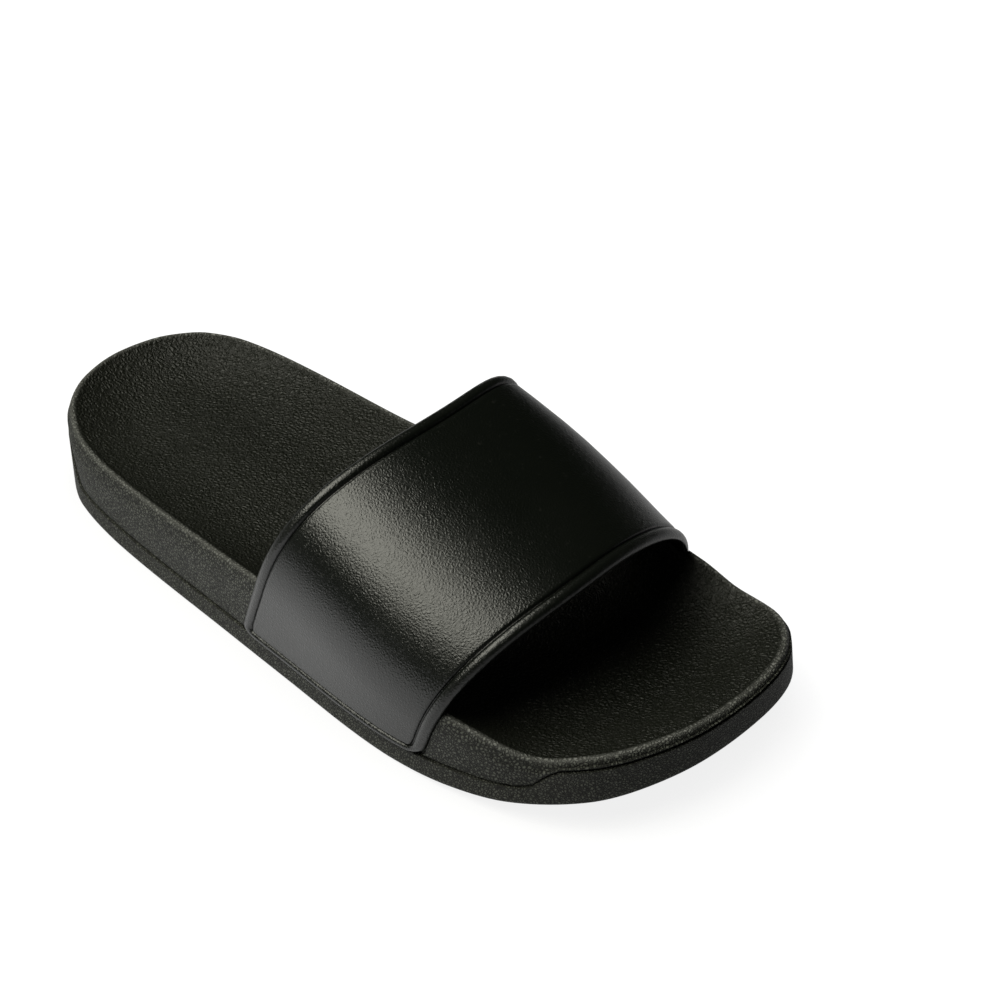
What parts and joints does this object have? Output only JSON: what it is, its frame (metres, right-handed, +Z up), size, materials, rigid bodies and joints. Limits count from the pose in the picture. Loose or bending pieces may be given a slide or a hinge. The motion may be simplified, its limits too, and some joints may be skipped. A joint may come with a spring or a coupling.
{
  "type": "sport slide sandal",
  "caption": "Right slide sandal: flat-treaded outsole with toe and heel bumpers, cupped foam footbed and one wide moulded band over the instep.",
  "frame": {"origin": "on the floor under the middle of the shoe's box", "axes": "+Y from heel to toe, +X to the outer side of the foot, +Z up"},
  "size_m": [0.1146, 0.2822, 0.0769],
  "materials": {
    "outsole": "matte black moulded foam rubber with a fine leather grain",
    "midsole": "matte black moulded foam with a coarse leather grain on the footbed and a fine one on the wall",
    "strap": "satin black moulded band with a fine leather grain"
  },
  "bodies": {
    "root": {"outsole": "outsole", "midsole": "midsole", "strap": "strap"}
  },
  "joints": []
}
